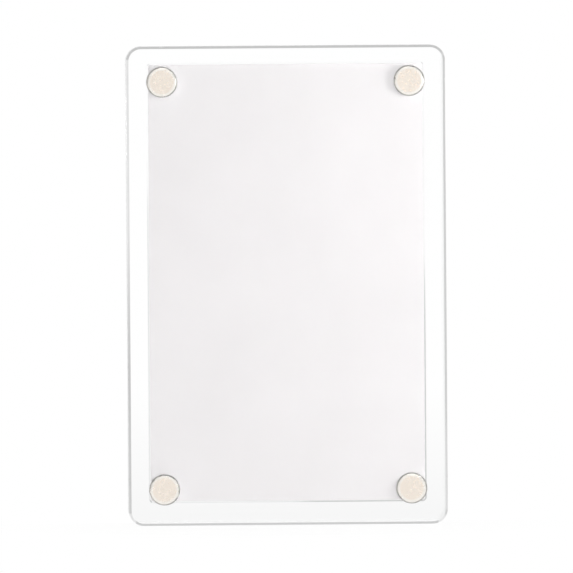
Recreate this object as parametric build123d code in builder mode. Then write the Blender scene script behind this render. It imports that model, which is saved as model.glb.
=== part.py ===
from build123d import *
import os

# A clear frame of two plates for one small instant print. The print lies in a shallow pocket
# in the back plate, the front plate closes over it, and round magnets bedded in the corners
# of both plates hold them together.
# Millimetres. +Z is up, the front looks along -Y, and the plates meet on the plane Y = 0.
# The origin is on the surface that the frame stands on, under the middle of the joint.

# Print
print_width = 54.0
print_height = 86.0
print_thickness = 0.4
print_corner = 0.5

# Plates, with margins from the print's edges to the plates' edges
side_margin = 4.4
top_margin = 3.65
bottom_margin = 4.7
front_thickness = 5.0
back_thickness = 5.0
plate_corner = 3.0
face_chamfer = 0.5
edge_break = 0.15

# Pocket for the print in the back plate
pocket_clearance = 0.1
pocket_headroom = 0.1
pocket_lead_in = 0.25

# Magnets, each in a blind bore on a thin bed of adhesive
magnet_diameter = 6.0
magnet_length = 3.0
magnet_round = 0.4
magnet_inset = 7.05
magnet_recess = 0.05
bore_clearance = 0.05
glue_thickness = 0.1

# Sizes and places that follow from those above
plate_width = print_width + 2 * side_margin
plate_height = bottom_margin + print_height + top_margin
plate_middle = plate_height / 2
print_middle = bottom_margin + print_height / 2
pocket_width = print_width + 2 * pocket_clearance
pocket_height = print_height + 2 * pocket_clearance
pocket_corner = print_corner + pocket_clearance
pocket_depth = print_thickness + pocket_headroom
bore_diameter = magnet_diameter + 2 * bore_clearance
bore_depth = magnet_recess + magnet_length + glue_thickness
magnet_reach = plate_width / 2 - magnet_inset
magnet_top = plate_height - magnet_inset
corners = {
    "bottom_left": (-magnet_reach, magnet_inset),
    "bottom_right": (magnet_reach, magnet_inset),
    "top_left": (-magnet_reach, magnet_top),
    "top_right": (magnet_reach, magnet_top),
}


def plate_outline():
    """Draws the outline that both plates share, standing on Z = 0."""
    with Locations((0, plate_middle)):
        RectangleRounded(plate_width, plate_height, plate_corner)


def bore_mouths():
    """Draws the round mouths of a plate's four magnet bores."""
    with Locations(*corners.values()):
        Circle(bore_diameter / 2)


def save(piece, name):
    """Labels a finished piece and writes it to its own file."""
    piece.part.label = name
    export_step(piece.part, f"parts/{name}.step")


os.makedirs("parts", exist_ok=True)

# Front plate: bevelled outer face, and blind bores from the face at the joint
with BuildPart() as front_plate:
    with BuildSketch(Plane.XZ):
        plate_outline()
    extrude(amount=front_thickness)
    chamfer(front_plate.faces().sort_by(Axis.Y)[0].edges(), face_chamfer)
    chamfer(front_plate.faces().sort_by(Axis.Y)[-1].edges(), edge_break)
    with BuildSketch(Plane.XZ):
        bore_mouths()
    extrude(amount=bore_depth, mode=Mode.SUBTRACT)
save(front_plate, "front_plate")

# Back plate: the same outline, with the pocket, its lead-in edge, and bores from its floor
with BuildPart() as back_plate:
    with BuildSketch(Plane.XZ):
        plate_outline()
    extrude(amount=-back_thickness)
    chamfer(back_plate.faces().sort_by(Axis.Y)[-1].edges(), edge_break)
    chamfer(back_plate.faces().sort_by(Axis.Y)[0].edges(), edge_break)
    with BuildSketch(Plane.XZ):
        with Locations((0, print_middle)):
            RectangleRounded(pocket_width, pocket_height, pocket_corner)
    extrude(amount=-pocket_depth, mode=Mode.SUBTRACT)
    joint_face = back_plate.faces().sort_by(Axis.Y)[0]
    chamfer(joint_face.inner_wires()[0].edges(), pocket_lead_in)
    with BuildSketch(Plane.XZ):
        bore_mouths()
    extrude(amount=-(pocket_depth + bore_depth), mode=Mode.SUBTRACT)
save(back_plate, "back_plate")

# Print, lying on the pocket's floor
with BuildPart() as photo_insert:
    with BuildSketch(Plane.XZ.offset(-pocket_headroom)):
        with Locations((0, print_middle)):
            RectangleRounded(print_width, print_height, print_corner)
    extrude(amount=-print_thickness)
save(photo_insert, "photo_insert")

# Magnets and their beds of adhesive. Each plate has the way into its bores, 1 for forward and
# -1 for backward, and the depth of their mouths behind the joint.
bores = {"front": (1, 0), "back": (-1, pocket_depth)}
for side, (inward, mouth) in bores.items():
    magnet_plane = Plane.XZ.offset(inward * (mouth + magnet_recess))
    glue_plane = magnet_plane.offset(inward * magnet_length)
    for corner, place in corners.items():
        with BuildPart() as magnet:
            with BuildSketch(magnet_plane):
                with Locations(place):
                    Circle(magnet_diameter / 2)
            extrude(amount=inward * magnet_length)
            fillet(magnet.edges().filter_by(GeomType.CIRCLE), magnet_round)
        save(magnet, f"{side}_magnet_{corner}")

        with BuildPart() as glue:
            with BuildSketch(glue_plane):
                with Locations(place):
                    Circle(magnet_diameter / 2)
            extrude(amount=inward * glue_thickness)
        save(glue, f"{side}_glue_{corner}")
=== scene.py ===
import math

import bmesh
import bpy
from bpy.props import FloatProperty, FloatVectorProperty, IntProperty, PointerProperty
from mathutils import Matrix, Vector


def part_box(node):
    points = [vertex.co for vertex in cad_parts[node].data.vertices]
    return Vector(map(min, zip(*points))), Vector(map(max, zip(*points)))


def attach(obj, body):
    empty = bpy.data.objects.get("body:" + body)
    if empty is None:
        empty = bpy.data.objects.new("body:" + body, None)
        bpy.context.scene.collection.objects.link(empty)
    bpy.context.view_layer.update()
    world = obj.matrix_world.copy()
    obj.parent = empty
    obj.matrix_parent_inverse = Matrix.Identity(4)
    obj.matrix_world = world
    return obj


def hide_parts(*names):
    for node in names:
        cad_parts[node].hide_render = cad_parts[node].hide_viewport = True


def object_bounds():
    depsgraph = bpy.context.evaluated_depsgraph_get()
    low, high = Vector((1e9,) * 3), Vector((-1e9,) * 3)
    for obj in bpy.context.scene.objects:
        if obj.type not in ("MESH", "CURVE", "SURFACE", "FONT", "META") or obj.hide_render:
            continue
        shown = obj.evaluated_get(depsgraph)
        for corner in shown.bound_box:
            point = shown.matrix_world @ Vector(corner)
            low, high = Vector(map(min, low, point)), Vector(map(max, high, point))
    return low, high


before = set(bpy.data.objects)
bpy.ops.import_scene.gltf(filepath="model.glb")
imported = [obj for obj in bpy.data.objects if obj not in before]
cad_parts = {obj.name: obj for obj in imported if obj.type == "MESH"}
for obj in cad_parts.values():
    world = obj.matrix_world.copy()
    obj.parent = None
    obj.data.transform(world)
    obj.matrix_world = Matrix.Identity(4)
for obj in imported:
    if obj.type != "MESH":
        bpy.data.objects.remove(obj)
cad_low, cad_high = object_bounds()

bl_info = {
    "name": "Clear magnetic photo frame",
    "version": (1, 0, 0),
    "blender": (4, 5, 0),
    "location": "View3D > Sidebar > Photo frame",
    "description": "Builds the plates, print, magnets and glue beds of a clear photo frame, and its studio",
    "category": "Object",
}

CORNERS = ("bottom_left", "bottom_right", "top_left", "top_right")
SIDES = ("front", "back")
MM = 0.001
SHARP_ANGLE = math.radians(30)


# Settings

def length(name, description, millimetres):
    """A size of the object, stored in metres."""
    return FloatProperty(
        name=name,
        description=description,
        default=millimetres * MM,
        min=0.0,
        precision=5,
        subtype="DISTANCE",
        unit="LENGTH",
    )


def offset(name, description, millimetres):
    """A shift to either side, stored in metres."""
    return FloatProperty(
        name=name,
        description=description,
        default=millimetres * MM,
        precision=5,
        subtype="DISTANCE",
        unit="LENGTH",
    )


def colour(name, description, default):
    """A colour with no alpha."""
    return FloatVectorProperty(
        name=name,
        description=description,
        default=default,
        min=0.0,
        max=1.0,
        size=3,
        subtype="COLOR",
    )


def share(name, description, default, most=1.0):
    """A plain number from 0 upwards, such as a roughness or a brightness."""
    return FloatProperty(name=name, description=description, default=default, min=0.0, max=most)


def angle(name, description, degrees):
    """An angle, stored in radians."""
    return FloatProperty(
        name=name,
        description=description,
        default=math.radians(degrees),
        subtype="ANGLE",
        unit="ROTATION",
    )


class PlateSettings(bpy.types.PropertyGroup):
    """Sizes and finish of the two clear plates."""

    corner: length("Corner radius", "Radius of the plates' corners", 3.0)
    face_bevel: length("Face bevel", "Bevel round the front face", 0.5)
    edge_break: length("Edge break", "Bevel round the back face and the faces at the joint", 0.15)
    ease: length("Eased edge", "Length of the polish that eases each bevel's edges", 0.04)
    pocket_clearance: length("Pocket clearance", "Gap from the print to the pocket's wall", 0.1)
    pocket_lead_in: length("Pocket lead-in", "Bevel round the pocket's mouth", 0.25)
    bore_clearance: length("Bore clearance", "Gap from a magnet to its bore's wall", 0.05)
    air_film: length("Air film", "Film of air between pieces that lie on each other", 0.01)
    corner_steps: IntProperty(
        name="Corner steps", description="Faces in a quarter turn of a corner", default=24, min=4
    )
    tint: colour("Tint", "Colour that a long way through the acrylic takes on", (0.86, 0.95, 0.93))
    tint_density: share("Tint density", "How soon the tint shows, per metre", 2.0, 100.0)
    refraction: share("Refractive index", "Refractive index of the acrylic", 1.49, 3.0)
    wall_roughness: share("Wall roughness", "Roughness of the cut walls and bevels", 0.08)


class PrintSettings(bpy.types.PropertyGroup):
    """Sizes and finish of the blank print."""

    corner: length("Corner radius", "Radius of the print's corners", 0.5)
    corner_steps: IntProperty(
        name="Corner steps", description="Faces in a quarter turn of a corner", default=8, min=2
    )
    edge_round: length("Edge rounding", "Rounding of the print's cut edges", 0.06)
    white: colour("White", "Colour of the blank face", (0.90, 0.878, 0.886))
    shade: colour("Shade", "Colour of the faint clouds in the face", (0.87, 0.848, 0.856))


class MagnetSettings(bpy.types.PropertyGroup):
    """Sizes and finish of the magnets."""

    rim: length("Rim rounding", "Rounding of the magnets' rims", 0.4)
    turn_steps: IntProperty(
        name="Turn steps", description="Faces round a magnet or a bore", default=96, min=12
    )
    nickel: colour("Nickel", "Colour of the plating", (0.925, 0.857, 0.808))
    dull: colour("Dull nickel", "Colour of the plating's duller clouds", (0.887, 0.813, 0.76))
    # Painted highlight: the near-white ring round each magnet's face
    painted_highlight: colour("Painted highlight nickel", "Colour round the edge of each face", (0.955, 0.93, 0.92))
    # Painted shade: the dark colour on each magnet's outer rim and sides draws a dark outline round each
    # face
    side: colour("Side nickel", "Colour of the rims and sides, painted dark as shade", (0.42, 0.4, 0.37))


class GlueSettings(bpy.types.PropertyGroup):
    """Sizes and finish of the adhesive beds."""

    spread: length("Spread", "How much a bed's rim wanders", 0.3)
    edge_round: length("Edge rounding", "Rounding of a bed's rim", 0.02)
    clear: colour("Clear", "Colour of the cured adhesive", (0.98, 0.97, 0.94))
    refraction: share("Refractive index", "Refractive index of the adhesive", 1.47, 3.0)


class StageSettings(bpy.types.PropertyGroup):
    """Camera, lights and surroundings."""

    distance: length("Camera distance", "From the camera to the middle of the frame", 2500.0)
    picture_width: length("Picture width", "Width that the picture shows at the frame", 112.95)
    yaw: angle("Camera yaw", "How far the camera stands round to the left", 1.8)
    elevation: angle("Camera elevation", "How far the camera stands above level", 1.4)
    roll: angle("Camera roll", "Turn of the picture", 0.4)
    aim_right: offset("Aim right", "Aim of the camera, right of the middle", 0.04)
    aim_up: offset("Aim up", "Aim of the camera, above the middle", -0.33)
    card_depth: length("Card depth", "From the frame to the cards behind it", 750.0)
    card_step: length("Card step", "From the cards behind to those that lie on them", 10.0)
    sight_right: offset("Sight right", "Where the line of sight meets the cards, to the right", 24.0)
    sight_up: offset("Sight up", "Where the line of sight meets the cards, upwards", 30.0)
    card_fade_start: length("Card fade start", "From the line of sight to where the cards whiten", 440.0)
    card_fade_end: length("Card fade end", "From the line of sight to where the cards are white", 640.0)
    dark_card: share("Dark card", "Brightness of the darker cards", 0.54)
    pale_card: share("Pale card", "Brightness of the paler cards", 0.78)
    left_card: share("Left card", "Brightness of the card behind on the left", 0.66)
    sill_card: share("Sill card", "Brightness of the card behind, low in the middle", 0.85)
    # Painted shade: the grey at the backdrop's foot stands in for the shade that the plates' lower margin
    # shows
    foot_card: share("Foot card", "Brightness of the backdrop's foot", 0.92)
    left_side: share("Left side", "Brightness of the room on the left", 0.6)
    right_side: share("Right side", "Brightness of the room on the right", 0.3)
    left_front: share("Left front", "Brightness of the room before the frame, on the left", 0.2)
    right_front: share("Right front", "Brightness of the room before the frame, on the right", 0.6)
    top_side: share("Top side", "Brightness of the room above", 0.25)
    side_reach: length("Side reach", "From the frame to the sides of the room", 600.0)
    side_height: length("Side height", "From the floor to the top of the room", 800.0)
    side_foot: length("Side foot", "From the floor down to the foot of the room's sides", 300.0)
    side_back: length("Side back", "Reach of the room's sides behind the frame", 150.0)
    front_gap: length("Front gap", "Half the width of the opening in the room's front", 200.0)
    key_right: length("Key right", "From the middle of the frame to the key light, to the right", 120.0)
    key_front: length("Key front", "From the middle of the frame to the key light, forwards", 90.0)
    key_up: length("Key up", "From the middle of the frame to the key light, upwards", 35.0)
    key_width: length("Key width", "Width of the key light", 120.0)
    key_height: length("Key height", "Height of the key light", 30.0)
    key_brightness: share("Key brightness", "Brightness of the key light", 6.9, 100.0)
    fill_front: length("Fill front", "From the middle of the frame to the fill light, forwards", 700.0)
    fill_up: length("Fill up", "From the middle of the frame to the fill light, upwards", 500.0)
    fill_width: length("Fill width", "Width of the fill light", 500.0)
    fill_height: length("Fill height", "Height of the fill light", 300.0)
    fill_brightness: share("Fill brightness", "Brightness of the fill light", 1.75, 100.0)
    floor_white: colour("Floor", "Colour of the pale floor", (0.93, 0.93, 0.93))
    floor_width: length("Floor width", "Width of the floor", 1100.0)
    floor_front: length("Floor front", "Reach of the floor before the frame", 550.0)
    floor_back: length("Floor back", "Reach of the floor behind the joint", 10.0)
    floor_whitening: share("Floor whitening", "Share of plain white in the floor near the frame", 0.96)
    fade_start: length("Fade start", "From the frame to where the floor starts to whiten", 20.0)
    fade_end: length("Fade end", "From the frame to where the floor is plain white", 60.0)


class PhotoFrameSettings(bpy.types.PropertyGroup):
    """All settings of the photo frame."""

    plate: PointerProperty(type=PlateSettings)
    paper: PointerProperty(type=PrintSettings)
    magnet: PointerProperty(type=MagnetSettings)
    glue: PointerProperty(type=GlueSettings)
    stage: PointerProperty(type=StageSettings)


# Outlines and solids

def rounded_outline(middle, width, height, radius, steps):
    """Points (x, z) round an upright rectangle with round corners."""
    points = []
    for quarter, (right, up) in enumerate(((1, 1), (-1, 1), (-1, -1), (1, -1))):
        centre_x = middle.x + right * (width / 2 - radius)
        centre_z = middle.z + up * (height / 2 - radius)
        for step in range(steps + 1):
            turn = math.pi / 2 * (quarter + step / steps)
            points.append((centre_x + radius * math.cos(turn), centre_z + radius * math.sin(turn)))
    return points


def round_outline(middle, radius, steps):
    """Points (x, z) round a circle."""
    turns = [2 * math.pi * step / steps for step in range(steps)]
    return [(middle.x + radius * math.cos(t), middle.z + radius * math.sin(t)) for t in turns]


def eased_bevel(bevel, ease, steps=3):
    """(inset, depth) pairs from a face to its wall, over a 45-degree bevel with eased edges.

    They start and end with a level stretch, which keeps the bevel out of the shading beyond it.
    """
    hold = bevel + 3 * ease
    slope = ease * math.sqrt(0.5)
    corners = (
        ((bevel + ease, 0.0), (bevel, 0.0), (bevel - slope, slope)),
        ((slope, bevel - slope), (0.0, bevel), (0.0, bevel + ease)),
    )
    pairs = [(hold, 0.0)]
    for start, corner, end in corners:
        for step in range(steps + 1):
            t = step / steps
            pairs.append(tuple(
                (1 - t) ** 2 * a + 2 * t * (1 - t) * b + t ** 2 * c
                for a, b, c in zip(start, corner, end)
            ))
    pairs.append((0.0, hold))
    return pairs


def loft(name, sections):
    """A closed mesh object through sections of (depth, outline), capped at both ends."""
    bm = bmesh.new()
    loops = [[bm.verts.new((x, depth, z)) for x, z in outline] for depth, outline in sections]
    for first, second in zip(loops, loops[1:]):
        for i in range(len(first)):
            j = (i + 1) % len(first)
            bm.faces.new((first[i], first[j], second[j], second[i]))
    bm.faces.new(loops[0])
    bm.faces.new(reversed(loops[-1]))
    bmesh.ops.recalc_face_normals(bm, faces=bm.faces)
    mesh = bpy.data.meshes.new(name)
    bm.to_mesh(mesh)
    bm.free()
    piece = bpy.data.objects.new(name, mesh)
    bpy.context.scene.collection.objects.link(piece)
    return piece


def carve(piece, cutters):
    """Cuts the cutters out of a piece and removes them."""
    for cutter in cutters:
        cut = piece.modifiers.new("cut", "BOOLEAN")
        cut.operation = "DIFFERENCE"
        cut.solver = "EXACT"
        cut.object = cutter
    evaluated = piece.evaluated_get(bpy.context.evaluated_depsgraph_get())
    carved = bpy.data.meshes.new_from_object(evaluated)
    plain = piece.data
    piece.modifiers.clear()
    piece.data = carved
    carved.name = piece.name
    bpy.data.meshes.remove(plain)
    for cutter in cutters:
        bpy.data.meshes.remove(cutter.data)


def finish_piece(piece, material, body, slot, *nodes):
    """Smooths a piece's round faces, hangs it on the body it rides on and hides the nodes it stands for."""
    piece.data.shade_smooth()
    piece.data.set_sharp_from_angle(angle=SHARP_ANGLE)
    piece.data.materials.clear()
    piece.data.materials.append(material)
    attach(piece, body)
    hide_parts(*nodes)


# Materials

def new_material(name):
    """A material with a Principled shader, as (material, nodes, links, shader)."""
    material = bpy.data.materials.new(name)
    material.use_nodes = True
    tree = material.node_tree
    shader = tree.nodes["Principled BSDF"]
    return material, tree.nodes, tree.links, shader


def noise(nodes, links, scale, detail=2.0, stretch=(1.0, 1.0, 1.0), roughness=0.5):
    """Noise over the object's own coordinates, as its factor socket."""
    place = nodes.new("ShaderNodeTexCoord")
    mapping = nodes.new("ShaderNodeMapping")
    mapping.inputs["Scale"].default_value = stretch
    texture = nodes.new("ShaderNodeTexNoise")
    texture.inputs["Scale"].default_value = scale
    texture.inputs["Detail"].default_value = detail
    texture.inputs["Roughness"].default_value = roughness
    links.new(place.outputs["Object"], mapping.inputs["Vector"])
    links.new(mapping.outputs["Vector"], texture.inputs["Vector"])
    return texture.outputs["Fac"]


def spread(nodes, links, source, low, high, start=0.3, end=0.7):
    """A factor from start to end spread between two values."""
    node = nodes.new("ShaderNodeMapRange")
    node.inputs["From Min"].default_value = start
    node.inputs["From Max"].default_value = end
    node.inputs["To Min"].default_value = low
    node.inputs["To Max"].default_value = high
    links.new(source, node.inputs["Value"])
    return node.outputs["Result"]


def blend_colours(nodes, links, factor, first, second):
    """A colour that goes from first to second with a factor."""
    node = nodes.new("ShaderNodeMix")
    node.data_type = "RGBA"
    node.inputs[6].default_value = (*first, 1.0)
    node.inputs[7].default_value = (*second, 1.0)
    links.new(factor, node.inputs[0])
    return node.outputs[2]


def blend_over(nodes, links, factor, under, over):
    """A colour that goes from another socket's colour to a plain one with a factor."""
    node = nodes.new("ShaderNodeMix")
    node.data_type = "RGBA"
    node.inputs[7].default_value = (*over, 1.0)
    links.new(factor, node.inputs[0])
    links.new(under, node.inputs[6])
    return node.outputs[2]


def distance(nodes, links, coordinates, scale, shift):
    """How far a point lies from where its coordinates, scaled and then shifted, are nought."""
    place = nodes.new("ShaderNodeTexCoord")
    mapping = nodes.new("ShaderNodeMapping")
    mapping.inputs["Scale"].default_value = scale
    mapping.inputs["Location"].default_value = shift
    size = nodes.new("ShaderNodeVectorMath")
    size.operation = "LENGTH"
    links.new(place.outputs[coordinates], mapping.inputs["Vector"])
    links.new(mapping.outputs["Vector"], size.inputs[0])
    return size.outputs["Value"]


def bump(nodes, links, height, strength, depth):
    """A bump of a depth in metres from a height socket."""
    node = nodes.new("ShaderNodeBump")
    node.inputs["Strength"].default_value = strength
    node.inputs["Distance"].default_value = depth
    links.new(height, node.inputs["Height"])
    return node.outputs["Normal"]


def flatness(nodes, links):
    """How far a face looks straight to the front or the back: 1 on the plates' faces, 0 on their walls."""
    place = nodes.new("ShaderNodeTexCoord")
    split = nodes.new("ShaderNodeSeparateXYZ")
    flat = nodes.new("ShaderNodeMath")
    flat.operation = "ABSOLUTE"
    links.new(place.outputs["Normal"], split.inputs["Vector"])
    links.new(split.outputs["Y"], flat.inputs[0])
    return flat.outputs["Value"]


def acrylic_material(settings):
    """Clear cast acrylic: polished faces, and walls with fine cutter marks across their thickness."""
    material, nodes, links, shader = new_material("cast_acrylic")
    shader.inputs["Base Color"].default_value = (1.0, 1.0, 1.0, 1.0)
    shader.inputs["Transmission Weight"].default_value = 1.0
    shader.inputs["IOR"].default_value = settings.refraction
    flat = flatness(nodes, links)
    wall_end, face_start = 0.8, 0.95
    roughness = spread(nodes, links, flat, settings.wall_roughness, 0.0, wall_end, face_start)
    links.new(roughness, shader.inputs["Roughness"])
    marks = noise(nodes, links, scale=1.0, stretch=(9000.0, 150.0, 9000.0))
    on_walls = spread(nodes, links, flat, 1.0, 0.0, wall_end, face_start)
    cutter_marks = nodes.new("ShaderNodeMath")
    cutter_marks.operation = "MULTIPLY"
    links.new(marks, cutter_marks.inputs[0])
    links.new(on_walls, cutter_marks.inputs[1])
    uneven = bump(nodes, links, cutter_marks.outputs["Value"], strength=0.25, depth=0.004 * MM)
    links.new(uneven, shader.inputs["Normal"])
    absorption = nodes.new("ShaderNodeVolumeAbsorption")
    absorption.inputs["Color"].default_value = (*settings.tint, 1.0)
    absorption.inputs["Density"].default_value = settings.tint_density
    links.new(absorption.outputs["Volume"], nodes["Material Output"].inputs["Volume"])
    return material


def paper_material(settings):
    """Blank semi-gloss print: a white face with faint clouds and fibres."""
    material, nodes, links, shader = new_material("blank_print_paper")
    clouds = spread(nodes, links, noise(nodes, links, scale=60.0, detail=3.0), 0.0, 1.0)
    paper = blend_colours(nodes, links, clouds, settings.white, settings.shade)
    links.new(paper, shader.inputs["Base Color"])
    fibres = noise(nodes, links, scale=4000.0, detail=3.0)
    links.new(spread(nodes, links, fibres, low=0.42, high=0.55), shader.inputs["Roughness"])
    links.new(bump(nodes, links, fibres, strength=0.2, depth=0.02 * MM), shader.inputs["Normal"])
    return material


def nickel_material(settings):
    """Nickel plating: a soft grained face, a painted highlight ring round its edge, and painted shade as a
    dark outline on the outer rim and sides.
    """
    material, nodes, links, shader = new_material("nickel_plating")
    shader.inputs["Metallic"].default_value = 1.0
    clouds = noise(nodes, links, scale=1100.0, detail=5.0, roughness=0.6)
    dullness = spread(nodes, links, clouds, 0.0, 1.0)
    face = blend_colours(nodes, links, dullness, settings.nickel, settings.dull)
    # From 0 at the middle of a face to 1 at the magnet's sides
    out = distance(nodes, links, "Generated", (2.0, 0.0, 2.0), (-1.0, 0.0, -1.0))
    # A near-white ring round each face: a painted highlight
    ring = spread(nodes, links, out, 0.0, 1.0, start=0.74, end=0.82)
    highlighted = blend_over(nodes, links, ring, face, settings.painted_highlight)
    # The outer rim and sides are painted dark: painted shade for the dark outline round each face
    sides = spread(nodes, links, out, 0.0, 1.0, start=0.92, end=0.96)
    links.new(blend_over(nodes, links, sides, highlighted, settings.side), shader.inputs["Base Color"])
    links.new(spread(nodes, links, clouds, low=0.24, high=0.34), shader.inputs["Roughness"])
    grain = noise(nodes, links, scale=9000.0, detail=3.0)
    links.new(bump(nodes, links, grain, strength=0.1, depth=0.01 * MM), shader.inputs["Normal"])
    return material


def glue_material(settings):
    """Clear adhesive, a little uneven where it wets the magnet."""
    material, nodes, links, shader = new_material("clear_adhesive")
    shader.inputs["Base Color"].default_value = (*settings.clear, 1.0)
    shader.inputs["Transmission Weight"].default_value = 1.0
    shader.inputs["IOR"].default_value = settings.refraction
    ripples = noise(nodes, links, scale=1800.0, detail=3.0)
    links.new(spread(nodes, links, ripples, low=0.02, high=0.08), shader.inputs["Roughness"])
    links.new(bump(nodes, links, ripples, strength=0.15, depth=0.01 * MM), shader.inputs["Normal"])
    return material


def shared_material(name, make, settings):
    """The material of that name, made on its first use."""
    return bpy.data.materials.get(name) or make(settings)


# Pieces

def plate_sections(node, side, settings):
    """Sections of a plate, from its outer face to the joint."""
    low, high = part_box(node)
    outer, joint, inward, outer_bevel = low.y, high.y, 1, settings.face_bevel
    if side == "back":
        outer, joint, inward, outer_bevel = high.y, low.y, -1, settings.edge_break
    joint -= inward * settings.air_film
    steps = [
        (outer + inward * depth, inset)
        for inset, depth in eased_bevel(outer_bevel, settings.ease)
    ]
    steps += [
        (joint - inward * depth, inset)
        for inset, depth in reversed(eased_bevel(settings.edge_break, settings.ease))
    ]
    width, height = high.x - low.x, high.z - low.z
    return [
        (
            depth,
            rounded_outline(
                (low + high) / 2,
                width - 2 * inset,
                height - 2 * inset,
                settings.corner - inset,
                settings.corner_steps,
            ),
        )
        for depth, inset in steps
    ]


def bore_cutters(side, settings, steps):
    """Cutters for a plate's four bores, from beyond the joint to the far side of the glue."""
    cutters = []
    for corner in CORNERS:
        low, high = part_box(f"{side}_magnet_{corner}")
        glue_low, glue_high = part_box(f"{side}_glue_{corner}")
        floor = glue_low.y if side == "front" else glue_high.y
        mouth = MM if side == "front" else -MM
        radius = (high.x - low.x) / 2 + settings.bore_clearance
        outline = round_outline((low + high) / 2, radius, steps)
        cutters.append(loft(f"{side}_bore_{corner}", [(mouth, outline), (floor, outline)]))
    return cutters


def pocket_cutter(settings, paper):
    """Cutter for the print's pocket and the bevel round its mouth."""
    low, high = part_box("photo_insert")
    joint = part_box("back_plate")[0].y
    middle = (low + high) / 2
    lead_in = settings.pocket_lead_in
    profile = (
        (joint - MM, lead_in + MM),
        (joint + lead_in, 0.0),
        (high.y, 0.0),
    )
    sections = []
    for depth, extra in profile:
        grown = settings.pocket_clearance + extra
        sections.append((
            depth,
            rounded_outline(
                middle,
                high.x - low.x + 2 * grown,
                high.z - low.z + 2 * grown,
                paper.corner + grown,
                paper.corner_steps,
            ),
        ))
    return loft("pocket", sections)


class PHOTO_FRAME_OT_front_plate(bpy.types.Operator):
    """Build the clear front plate with its four blind bores"""

    bl_idname = "photo_frame.front_plate"
    bl_label = "Front plate"

    def execute(self, context):
        settings = context.scene.photo_frame
        plate = loft("clear_front_plate", plate_sections("front_plate", "front", settings.plate))
        carve(plate, bore_cutters("front", settings.plate, settings.magnet.turn_steps))
        material = shared_material("cast_acrylic", acrylic_material, settings.plate)
        finish_piece(plate, material, "front", "acrylic", "front_plate")
        return {"FINISHED"}


class PHOTO_FRAME_OT_back_plate(bpy.types.Operator):
    """Build the clear back plate with its pocket and four blind bores"""

    bl_idname = "photo_frame.back_plate"
    bl_label = "Back plate"

    def execute(self, context):
        settings = context.scene.photo_frame
        plate = loft("clear_back_plate", plate_sections("back_plate", "back", settings.plate))
        cutters = [pocket_cutter(settings.plate, settings.paper)]
        cutters += bore_cutters("back", settings.plate, settings.magnet.turn_steps)
        carve(plate, cutters)
        material = shared_material("cast_acrylic", acrylic_material, settings.plate)
        finish_piece(plate, material, "back", "acrylic", "back_plate")
        return {"FINISHED"}


class PHOTO_FRAME_OT_blank_print(bpy.types.Operator):
    """Build the blank print that lies in the pocket"""

    bl_idname = "photo_frame.blank_print"
    bl_label = "Blank print"

    def execute(self, context):
        settings = context.scene.photo_frame
        low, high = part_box("photo_insert")
        film = settings.plate.air_film
        profile = eased_bevel(settings.paper.edge_round, settings.paper.edge_round / 4)
        steps = [(low.y + depth, inset) for inset, depth in profile]
        steps += [(high.y - film - depth, inset) for inset, depth in reversed(profile)]
        sections = [
            (
                depth,
                rounded_outline(
                    (low + high) / 2,
                    high.x - low.x - 2 * inset,
                    high.z - low.z - 2 * inset,
                    settings.paper.corner - inset,
                    settings.paper.corner_steps,
                ),
            )
            for depth, inset in steps
        ]
        sheet = loft("blank_print", sections)
        material = shared_material("blank_print_paper", paper_material, settings.paper)
        finish_piece(sheet, material, "print", "print_paper", "photo_insert")
        return {"FINISHED"}


class PHOTO_FRAME_OT_magnets(bpy.types.Operator):
    """Build the nickel-plated magnets of both plates"""

    bl_idname = "photo_frame.magnets"
    bl_label = "Magnets"

    def execute(self, context):
        settings = context.scene.photo_frame
        material = shared_material("nickel_plating", nickel_material, settings.magnet)
        for side in SIDES:
            for corner in CORNERS:
                node = f"{side}_magnet_{corner}"
                magnet = self.disc(node, f"{side}_disc_{corner}", settings)
                finish_piece(magnet, material, side, "nickel", node)
        return {"FINISHED"}

    def disc(self, node, name, settings):
        """A disc with rounded rims in a magnet's place."""
        low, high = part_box(node)
        film = settings.plate.air_film
        rim, rim_steps = settings.magnet.rim, 8
        radius = (high.x - low.x) / 2
        first, last = low.y + film, high.y - film
        turns = [math.pi / 2 * step / rim_steps for step in range(rim_steps + 1)]
        arc = [(rim * (1 - math.sin(t)), rim * (1 - math.cos(t))) for t in turns]
        profile = [(first, radius - 2 * rim)]
        profile += [(first + depth, radius - inset) for inset, depth in arc]
        profile += [(last - depth, radius - inset) for inset, depth in reversed(arc)]
        profile += [(last, radius - 2 * rim)]
        steps = settings.magnet.turn_steps
        middle = (low + high) / 2
        return loft(name, [(depth, round_outline(middle, r, steps)) for depth, r in profile])


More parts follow.
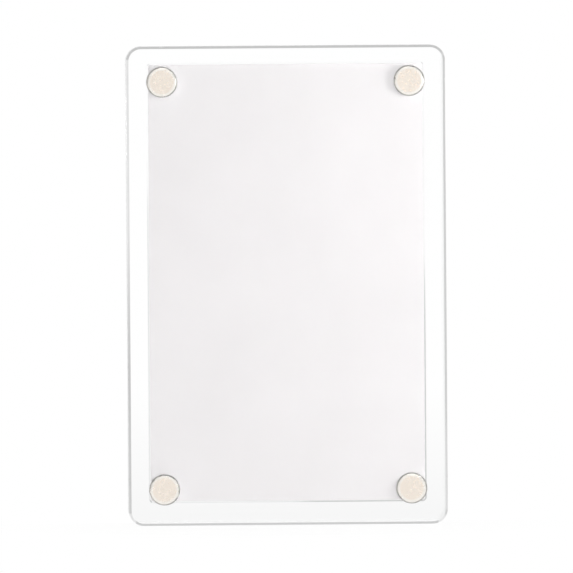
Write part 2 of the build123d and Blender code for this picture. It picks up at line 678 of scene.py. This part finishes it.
class PHOTO_FRAME_OT_glue_beds(bpy.types.Operator):
    """Build the thin beds of adhesive under the magnets"""

    bl_idname = "photo_frame.glue_beds"
    bl_label = "Glue beds"

    def execute(self, context):
        settings = context.scene.photo_frame
        material = shared_material("clear_adhesive", glue_material, settings.glue)
        for side in SIDES:
            for corner in CORNERS:
                node = f"{side}_glue_{corner}"
                bed = self.bed(node, f"{side}_bed_{corner}", settings)
                finish_piece(bed, material, side, "adhesive", node)
        return {"FINISHED"}

    def bed(self, node, name, settings):
        """A thin puddle in a glue node's place, with a rim that wanders and rounds over.

        A level ring round each face keeps the rounding out of the face's shading.
        """
        low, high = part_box(node)
        film, edge = settings.plate.air_film, settings.glue.edge_round
        first, last = low.y + film, high.y - film
        hold = 4 * edge
        profile = ((first, hold), (first, 2 * edge), (first + edge / 2, edge / 2), (first + edge, 0.0))
        profile += ((last - edge, 0.0), (last - edge / 2, edge / 2), (last, 2 * edge), (last, hold))
        radius = (high.x - low.x) / 2
        start = sum(ord(letter) for letter in node)
        return loft(name, [
            (depth, self.rim((low + high) / 2, radius - inset, start, settings))
            for depth, inset in profile
        ])

    def rim(self, middle, radius, start, settings):
        """Points (x, z) round a puddle whose radius falls short of a full one by a wandering amount."""
        steps = settings.magnet.turn_steps
        points = []
        for step in range(steps):
            turn = 2 * math.pi * step / steps
            wave = math.sin(2 * turn + start) + math.sin(3 * turn + 2 * start)
            wave += math.sin(7 * turn + 3 * start) / 3
            reach = radius - settings.glue.spread * (0.5 + 0.2 * wave)
            points.append((middle.x + reach * math.cos(turn), middle.z + reach * math.sin(turn)))
        return points


# Stage

def build_world():
    """Plain white surroundings."""
    world = bpy.data.worlds.new("white_surroundings")
    bpy.context.scene.world = world
    world.use_nodes = True
    background = world.node_tree.nodes["Background"]
    background.inputs["Color"].default_value = (1.0, 1.0, 1.0, 1.0)
    background.inputs["Strength"].default_value = 1.0


def grey_card(name, points, soft, low_level, high_level=None, fade=(0.0, 1.0)):
    """A grey card through four points, which the camera doesn't see but metal and clear edges do.

    A soft card whitens away from the line of sight, so that it shows no edge in the acrylic. soft is
    None, or that line's place on the card and the distances over which the card whitens.
    """
    mesh = bpy.data.meshes.new(name)
    mesh.from_pydata(points, [], [(0, 1, 2, 3)])
    card = bpy.data.objects.new(name, mesh)
    card.visible_camera = False
    bpy.context.scene.collection.objects.link(card)
    material, nodes, links, shader = new_material(name)
    nodes.remove(shader)
    grey = nodes.new("ShaderNodeEmission")
    grey.inputs["Strength"].default_value = low_level
    if high_level is not None:
        place = nodes.new("ShaderNodeTexCoord")
        split = nodes.new("ShaderNodeSeparateXYZ")
        links.new(place.outputs["Object"], split.inputs["Vector"])
        level = spread(nodes, links, split.outputs["Z"], low_level, high_level, *fade)
        links.new(level, grey.inputs["Strength"])
    surface = grey.outputs["Emission"]
    if soft is not None:
        sight, *reach = soft
        away = distance(nodes, links, "Object", (1.0, 0.0, 1.0), sight)
        white = nodes.new("ShaderNodeEmission")
        white.inputs["Strength"].default_value = 1.0
        mix = nodes.new("ShaderNodeMixShader")
        links.new(spread(nodes, links, away, 0.0, 1.0, *reach), mix.inputs["Fac"])
        links.new(surface, mix.inputs[1])
        links.new(white.outputs["Emission"], mix.inputs[2])
        surface = mix.outputs["Shader"]
    links.new(surface, nodes["Material Output"].inputs["Surface"])
    mesh.materials.append(material)


def upright_card(soft, name, start, end, low, high, *levels):
    """A grey card that stands upright from one point (x, y) of the plan to another."""
    grey_card(name, [(*start, low), (*end, low), (*end, high), (*start, high)], soft, *levels)


def build_cards(settings):
    """Grey cards round a white opening behind the frame, which draw its edges, and about the room."""
    dark, pale, foot = settings.dark_card, settings.pale_card, settings.foot_card
    back = settings.card_depth
    near = back - settings.card_step
    out, up, down = settings.side_reach, settings.side_height, -settings.side_foot
    far, gap = settings.side_back, settings.front_gap
    sight = (-settings.sight_right, 0.0, -settings.sight_up)
    soft = (sight, settings.card_fade_start, settings.card_fade_end)
    # Name, ends in plan, foot, top, brightness at the foot and the top, heights where it changes
    behind = (
        ("low_card", (-0.70, back), (0.80, back), -0.70, -0.10, dark),
        ("right_card", (0.20, back), (0.80, back), -0.10, 0.70, dark, pale, (0.01, 0.04)),
        ("sill_card", (-0.15, near), (0.03, near), -0.45, -0.335, settings.sill_card),
        ("white_card", (0.37, near), (0.80, near), 0.03, 0.70, 1.0),
        ("far_card", (-0.70, back), (-0.33, back), -0.10, 0.05, pale),
        ("left_card", (-0.33, back), (-0.10, back), -0.10, 0.12, settings.left_card),
        ("corner_card", (-0.33, back), (-0.08, back), 0.12, 0.40, pale),
        ("top_card", (-0.08, back), (0.20, back), 0.16, 0.37, dark),
        # Painted shade: a grey card, darker at its foot and whitening upwards, seen through the plates'
        # lower margin
        ("foot_card", (-0.10, back), (0.20, back), -0.10, 0.004, foot, 1.0, (-0.03, 0.002)),
    )
    for card in behind:
        upright_card(soft, *card)
    room = (
        ("left_side", (-out, -out), (-out, far), down, up, settings.left_side),
        ("right_side", (out, -out), (out, far), down, up, settings.right_side),
        ("left_front", (-out, -out), (-gap, -out), down, up, settings.left_front),
        ("right_front", (gap, -out), (out, -out), down, up, settings.right_front),
    )
    for card in room:
        upright_card(None, *card)
    corners = ((-out, -out), (out, -out), (out, out), (-out, out))
    grey_card("top_side", [(x, y, up) for x, y in corners], None, settings.top_side)


def build_floor(settings, film):
    """A pale floor that shows white to the camera and in the acrylic, and keeps a soft shadow."""
    half_width, front, back = settings.floor_width / 2, -settings.floor_front, settings.floor_back
    height = cad_low.z - 2 * film
    corners = ((-half_width, front), (half_width, front), (half_width, back), (-half_width, back))
    mesh = bpy.data.meshes.new("floor")
    mesh.from_pydata([(x, y, height) for x, y in corners], [], [(0, 1, 2, 3)])
    floor = bpy.data.objects.new("floor", mesh)
    bpy.context.scene.collection.objects.link(floor)
    material, nodes, links, shader = new_material("pale_floor")
    shader.inputs["Base Color"].default_value = (*settings.floor_white, 1.0)
    shader.inputs["Roughness"].default_value = 0.6
    rays = nodes.new("ShaderNodeLightPath")
    seen = rays.outputs["Is Camera Ray"]
    for ray in ("Is Glossy Ray", "Is Transmission Ray"):
        either = nodes.new("ShaderNodeMath")
        either.operation = "MAXIMUM"
        links.new(seen, either.inputs[0])
        links.new(rays.outputs[ray], either.inputs[1])
        seen = either.outputs["Value"]
    white = nodes.new("ShaderNodeEmission")
    white.inputs["Strength"].default_value = 1.0
    far = distance(nodes, links, "Object", (1.0, 1.0, 1.0), (0.0, 0.0, 0.0))
    reach = (settings.fade_start, settings.fade_end)
    whitening = spread(nodes, links, far, settings.floor_whitening, 1.0, *reach)
    whitened = nodes.new("ShaderNodeMath")
    whitened.operation = "MULTIPLY"
    links.new(seen, whitened.inputs[0])
    links.new(whitening, whitened.inputs[1])
    mix = nodes.new("ShaderNodeMixShader")
    links.new(whitened.outputs["Value"], mix.inputs["Fac"])
    links.new(shader.outputs["BSDF"], mix.inputs[1])
    links.new(white.outputs["Emission"], mix.inputs[2])
    links.new(mix.outputs["Shader"], nodes["Material Output"].inputs["Surface"])
    mesh.materials.append(material)


def soft_light(name, place, towards, width, height, brightness):
    """A soft panel of even brightness that looks along a direction and that outer faces don't mirror."""
    data = bpy.data.lights.new(name, "AREA")
    data.shape = "RECTANGLE"
    data.size = width
    data.size_y = height
    data.energy = brightness * math.pi * width * height
    panel = bpy.data.objects.new(name, data)
    panel.location = place
    panel.rotation_mode = "QUATERNION"
    panel.rotation_quaternion = Vector(towards).to_track_quat("-Z", "Y")
    panel.visible_camera = False
    panel.visible_glossy = False
    bpy.context.scene.collection.objects.link(panel)


def build_lights(settings, middle):
    """A key light close at the right, and a weaker fill light above the camera's line of sight."""
    key = Vector((settings.key_right, -settings.key_front, settings.key_up))
    key_size = (settings.key_width, settings.key_height)
    soft_light("key", middle + key, -key, *key_size, settings.key_brightness)
    fill = Vector((0.0, -settings.fill_front, settings.fill_up))
    fill_size = (settings.fill_width, settings.fill_height)
    soft_light("fill", middle + fill, -fill, *fill_size, settings.fill_brightness)


def build_camera(settings, middle):
    """A long lens a little to the left of the frame and above it, with the picture turned slightly."""
    data = bpy.data.cameras.new("camera")
    data.sensor_width = 36.0
    data.lens = data.sensor_width * settings.distance / settings.picture_width
    data.clip_start, data.clip_end = 0.05, 20.0
    camera = bpy.data.objects.new("camera", data)
    flat = math.cos(settings.elevation)
    away = Vector((
        -math.sin(settings.yaw) * flat,
        -math.cos(settings.yaw) * flat,
        math.sin(settings.elevation),
    ))
    turn = (-away).to_track_quat("-Z", "Y")
    aim = middle + turn @ Vector((settings.aim_right, settings.aim_up, 0.0))
    camera.rotation_mode = "QUATERNION"
    camera.rotation_quaternion = turn @ Matrix.Rotation(-settings.roll, 4, "Z").to_quaternion()
    camera.location = aim + away * settings.distance
    bpy.context.scene.collection.objects.link(camera)
    bpy.context.scene.camera = camera


class PHOTO_FRAME_OT_stage(bpy.types.Operator):
    """Build the floor, surroundings, lights and camera"""

    bl_idname = "photo_frame.stage"
    bl_label = "Stage"

    def execute(self, context):
        settings = context.scene.photo_frame.stage
        film = context.scene.photo_frame.plate.air_film
        middle = (cad_low + cad_high) / 2
        bounces = 32
        build_world()
        build_floor(settings, film)
        build_cards(settings)
        build_lights(settings, middle)
        build_camera(settings, middle)
        scene = context.scene
        scene.view_settings.view_transform = "Standard"
        scene.cycles.max_bounces = bounces
        scene.cycles.glossy_bounces = bounces
        scene.cycles.transmission_bounces = bounces
        scene.cycles.blur_glossy = 0.0
        return {"FINISHED"}


OPERATORS = (
    PHOTO_FRAME_OT_front_plate,
    PHOTO_FRAME_OT_back_plate,
    PHOTO_FRAME_OT_blank_print,
    PHOTO_FRAME_OT_magnets,
    PHOTO_FRAME_OT_glue_beds,
    PHOTO_FRAME_OT_stage,
)


class PHOTO_FRAME_PT_panel(bpy.types.Panel):
    """Lists the photo frame's pieces and settings"""

    bl_idname = "PHOTO_FRAME_PT_panel"
    bl_label = "Photo frame"
    bl_space_type = "VIEW_3D"
    bl_region_type = "UI"
    bl_category = "Photo frame"

    def draw(self, context):
        for operator in OPERATORS:
            self.layout.operator(operator.bl_idname)
        settings = context.scene.photo_frame
        for group in (settings.plate, settings.paper, settings.magnet, settings.glue, settings.stage):
            box = self.layout.box()
            for name in group.__annotations__:
                box.prop(group, name)


CLASSES = (
    PlateSettings,
    PrintSettings,
    MagnetSettings,
    GlueSettings,
    StageSettings,
    PhotoFrameSettings,
    *OPERATORS,
    PHOTO_FRAME_PT_panel,
)


def register():
    for cls in CLASSES:
        bpy.utils.register_class(cls)
    bpy.types.Scene.photo_frame = PointerProperty(type=PhotoFrameSettings)


def unregister():
    del bpy.types.Scene.photo_frame
    for cls in reversed(CLASSES):
        bpy.utils.unregister_class(cls)


def main():
    """Builds every piece and the stage."""
    register()
    bpy.ops.photo_frame.front_plate()
    bpy.ops.photo_frame.back_plate()
    bpy.ops.photo_frame.blank_print()
    bpy.ops.photo_frame.magnets()
    bpy.ops.photo_frame.glue_beds()
    bpy.ops.photo_frame.stage()


if __name__ == "__main__":
    main()
